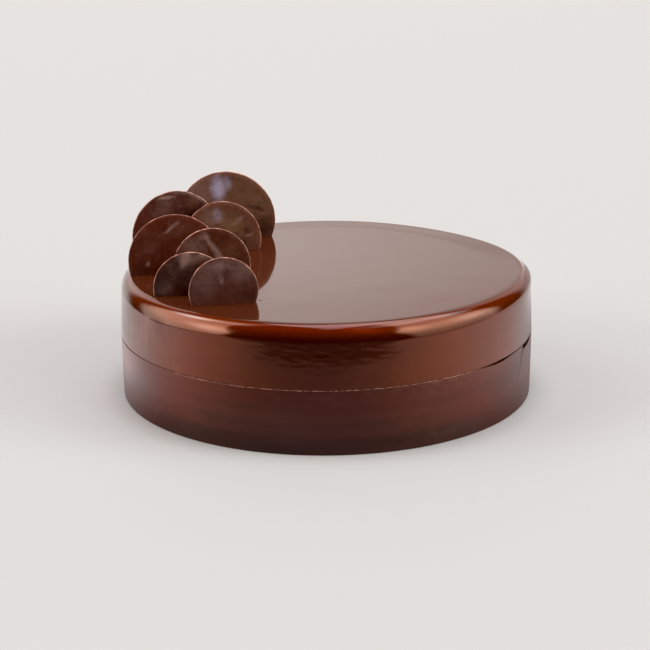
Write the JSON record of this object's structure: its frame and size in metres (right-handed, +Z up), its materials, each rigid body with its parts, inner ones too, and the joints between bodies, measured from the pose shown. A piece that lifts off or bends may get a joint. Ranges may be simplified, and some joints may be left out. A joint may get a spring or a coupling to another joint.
{
  "type": "chocolate mousse cake",
  "caption": "Round mousse cake under a chocolate mirror glaze, with a chocolate band round its foot and chocolate discs standing in its top at one side.",
  "frame": {"origin": "middle of the base, on the surface that the cake stands on", "axes": "+Z up, -Y towards the front, +X to the right seen from the front; the discs stand at -X"},
  "size_m": [0.21, 0.21, 0.0984],
  "materials": {
    "mirror_glaze": "wet-looking dark chocolate mirror glaze",
    "band_chocolate": "satin dark chocolate with faint streaks along it",
    "disc_chocolate": "satin dark chocolate with cloudy bloom and a paler cut rim"
  },
  "bodies": {
    "root": {"cake_body": "mirror_glaze", "chocolate_band": "band_chocolate", "disc_back_right": "disc_chocolate", "disc_back_left": "disc_chocolate", "disc_middle_right": "disc_chocolate", "disc_middle_left": "disc_chocolate", "disc_middle": "disc_chocolate", "disc_front_left": "disc_chocolate", "disc_front_right": "disc_chocolate"}
  },
  "joints": []
}
